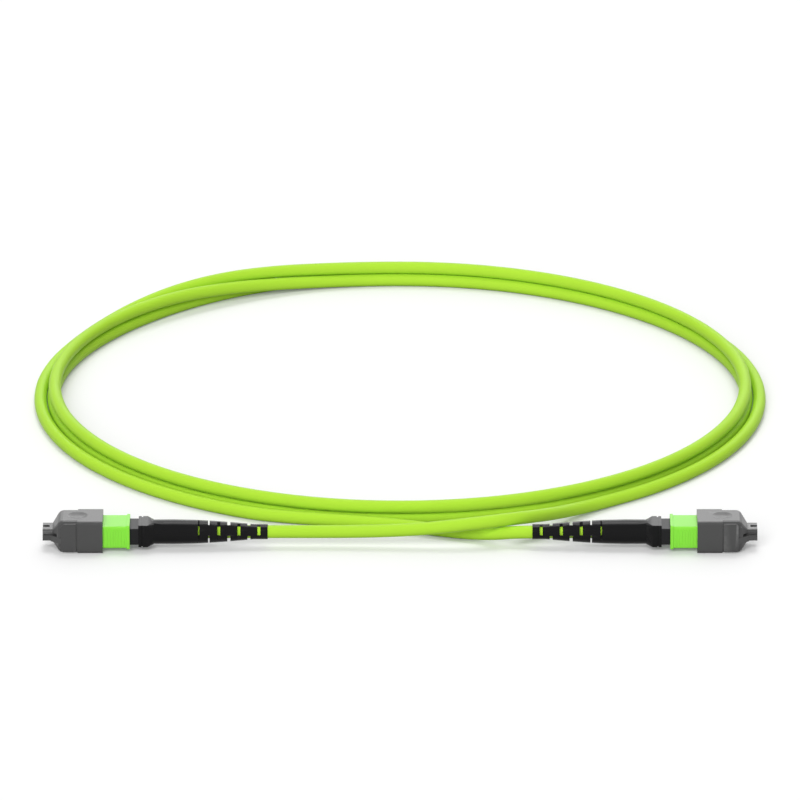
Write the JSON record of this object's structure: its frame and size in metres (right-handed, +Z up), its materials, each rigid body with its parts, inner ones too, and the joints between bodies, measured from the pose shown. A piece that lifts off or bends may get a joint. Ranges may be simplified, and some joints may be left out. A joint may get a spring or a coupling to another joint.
{
  "type": "mpo fibre patch cord",
  "caption": "Coiled green fibre-optic patch cord with a push-on multi-fibre plug at each end, each with a slotted black boot, green sliding sleeve and grey dust cap.",
  "frame": {"origin": "On the floor, midway between the two plugs, on their common axis seen from above.", "axes": "+X along the plugs to the right plug's tip, +Y away from the plugs toward the coil, +Z up from the floor."},
  "size_m": [0.246, 0.282, 0.0108],
  "materials": {
    "cap_grey": "matt grey moulded plastic",
    "sleeve_green": "bright green moulded plastic",
    "housing_green": "bright green moulded plastic",
    "body_black": "black moulded plastic",
    "boot_black": "black flexible moulded plastic",
    "ferrule_black": "precision moulded black polymer, polished end",
    "keeper_steel": "stamped steel",
    "spring_steel": "bright spring wire",
    "grommet_rubber": "soft black rubber",
    "ribbon": "clear coated fibre ribbon",
    "crimp_metal": "plated crimp metal",
    "cable_jacket": "lime green cable jacket with a soft sheen"
  },
  "bodies": {
    "cord_assembly": {"left_coupling_springs": "spring_steel", "left_housing": "housing_green", "left_ferrule_spring": "spring_steel", "left_rear_body": "body_black", "left_crimp_sleeve": "crimp_metal", "left_boot": "boot_black", "right_coupling_springs": "spring_steel", "right_housing": "housing_green", "right_ferrule_spring": "spring_steel", "right_rear_body": "body_black", "right_crimp_sleeve": "crimp_metal", "right_boot": "boot_black", "left_tail": "cable_jacket", "right_tail": "cable_jacket", "cord_coil": "cable_jacket"},
    "left_cap": {"left_dust_cap": "cap_grey"},
    "left_sleeve": {"left_coupling": "sleeve_green"},
    "left_ferrule_set": {"left_ferrule": "ferrule_black", "left_pin_keeper": "keeper_steel", "left_ferrule_grommet": "grommet_rubber", "left_fibre_ribbon": "ribbon"},
    "right_cap": {"right_dust_cap": "cap_grey"},
    "right_sleeve": {"right_coupling": "sleeve_green"},
    "right_ferrule_set": {"right_ferrule": "ferrule_black", "right_pin_keeper": "keeper_steel", "right_ferrule_grommet": "grommet_rubber", "right_fibre_ribbon": "ribbon"}
  },
  "joints": [
    {"name": "left_cap_pull", "type": "slide", "parent": "cord_assembly", "child": "left_cap", "axis": [-1, 0, 0], "range_m": [0, 0.015]},
    {"name": "left_sleeve_pull", "type": "slide", "parent": "cord_assembly", "child": "left_sleeve", "axis": [1, 0, 0], "range_m": [0, 0.002], "stiffness_N_per_m": 600, "springref_m": -0.002, "deforming": ["left_coupling_springs"]},
    {"name": "left_ferrule_float", "type": "slide", "parent": "cord_assembly", "child": "left_ferrule_set", "axis": [1, 0, 0], "range_m": [0, 0.0008], "stiffness_N_per_m": 2500, "springref_m": -0.003, "deforming": ["left_ferrule_spring"]},
    {"name": "right_cap_pull", "type": "slide", "parent": "cord_assembly", "child": "right_cap", "axis": [1, 0, 0], "range_m": [0, 0.015]},
    {"name": "right_sleeve_pull", "type": "slide", "parent": "cord_assembly", "child": "right_sleeve", "axis": [-1, 0, 0], "range_m": [0, 0.002], "stiffness_N_per_m": 600, "springref_m": -0.002, "deforming": ["right_coupling_springs"]},
    {"name": "right_ferrule_float", "type": "slide", "parent": "cord_assembly", "child": "right_ferrule_set", "axis": [-1, 0, 0], "range_m": [0, 0.0008], "stiffness_N_per_m": 2500, "springref_m": -0.003, "deforming": ["right_ferrule_spring"]}
  ]
}
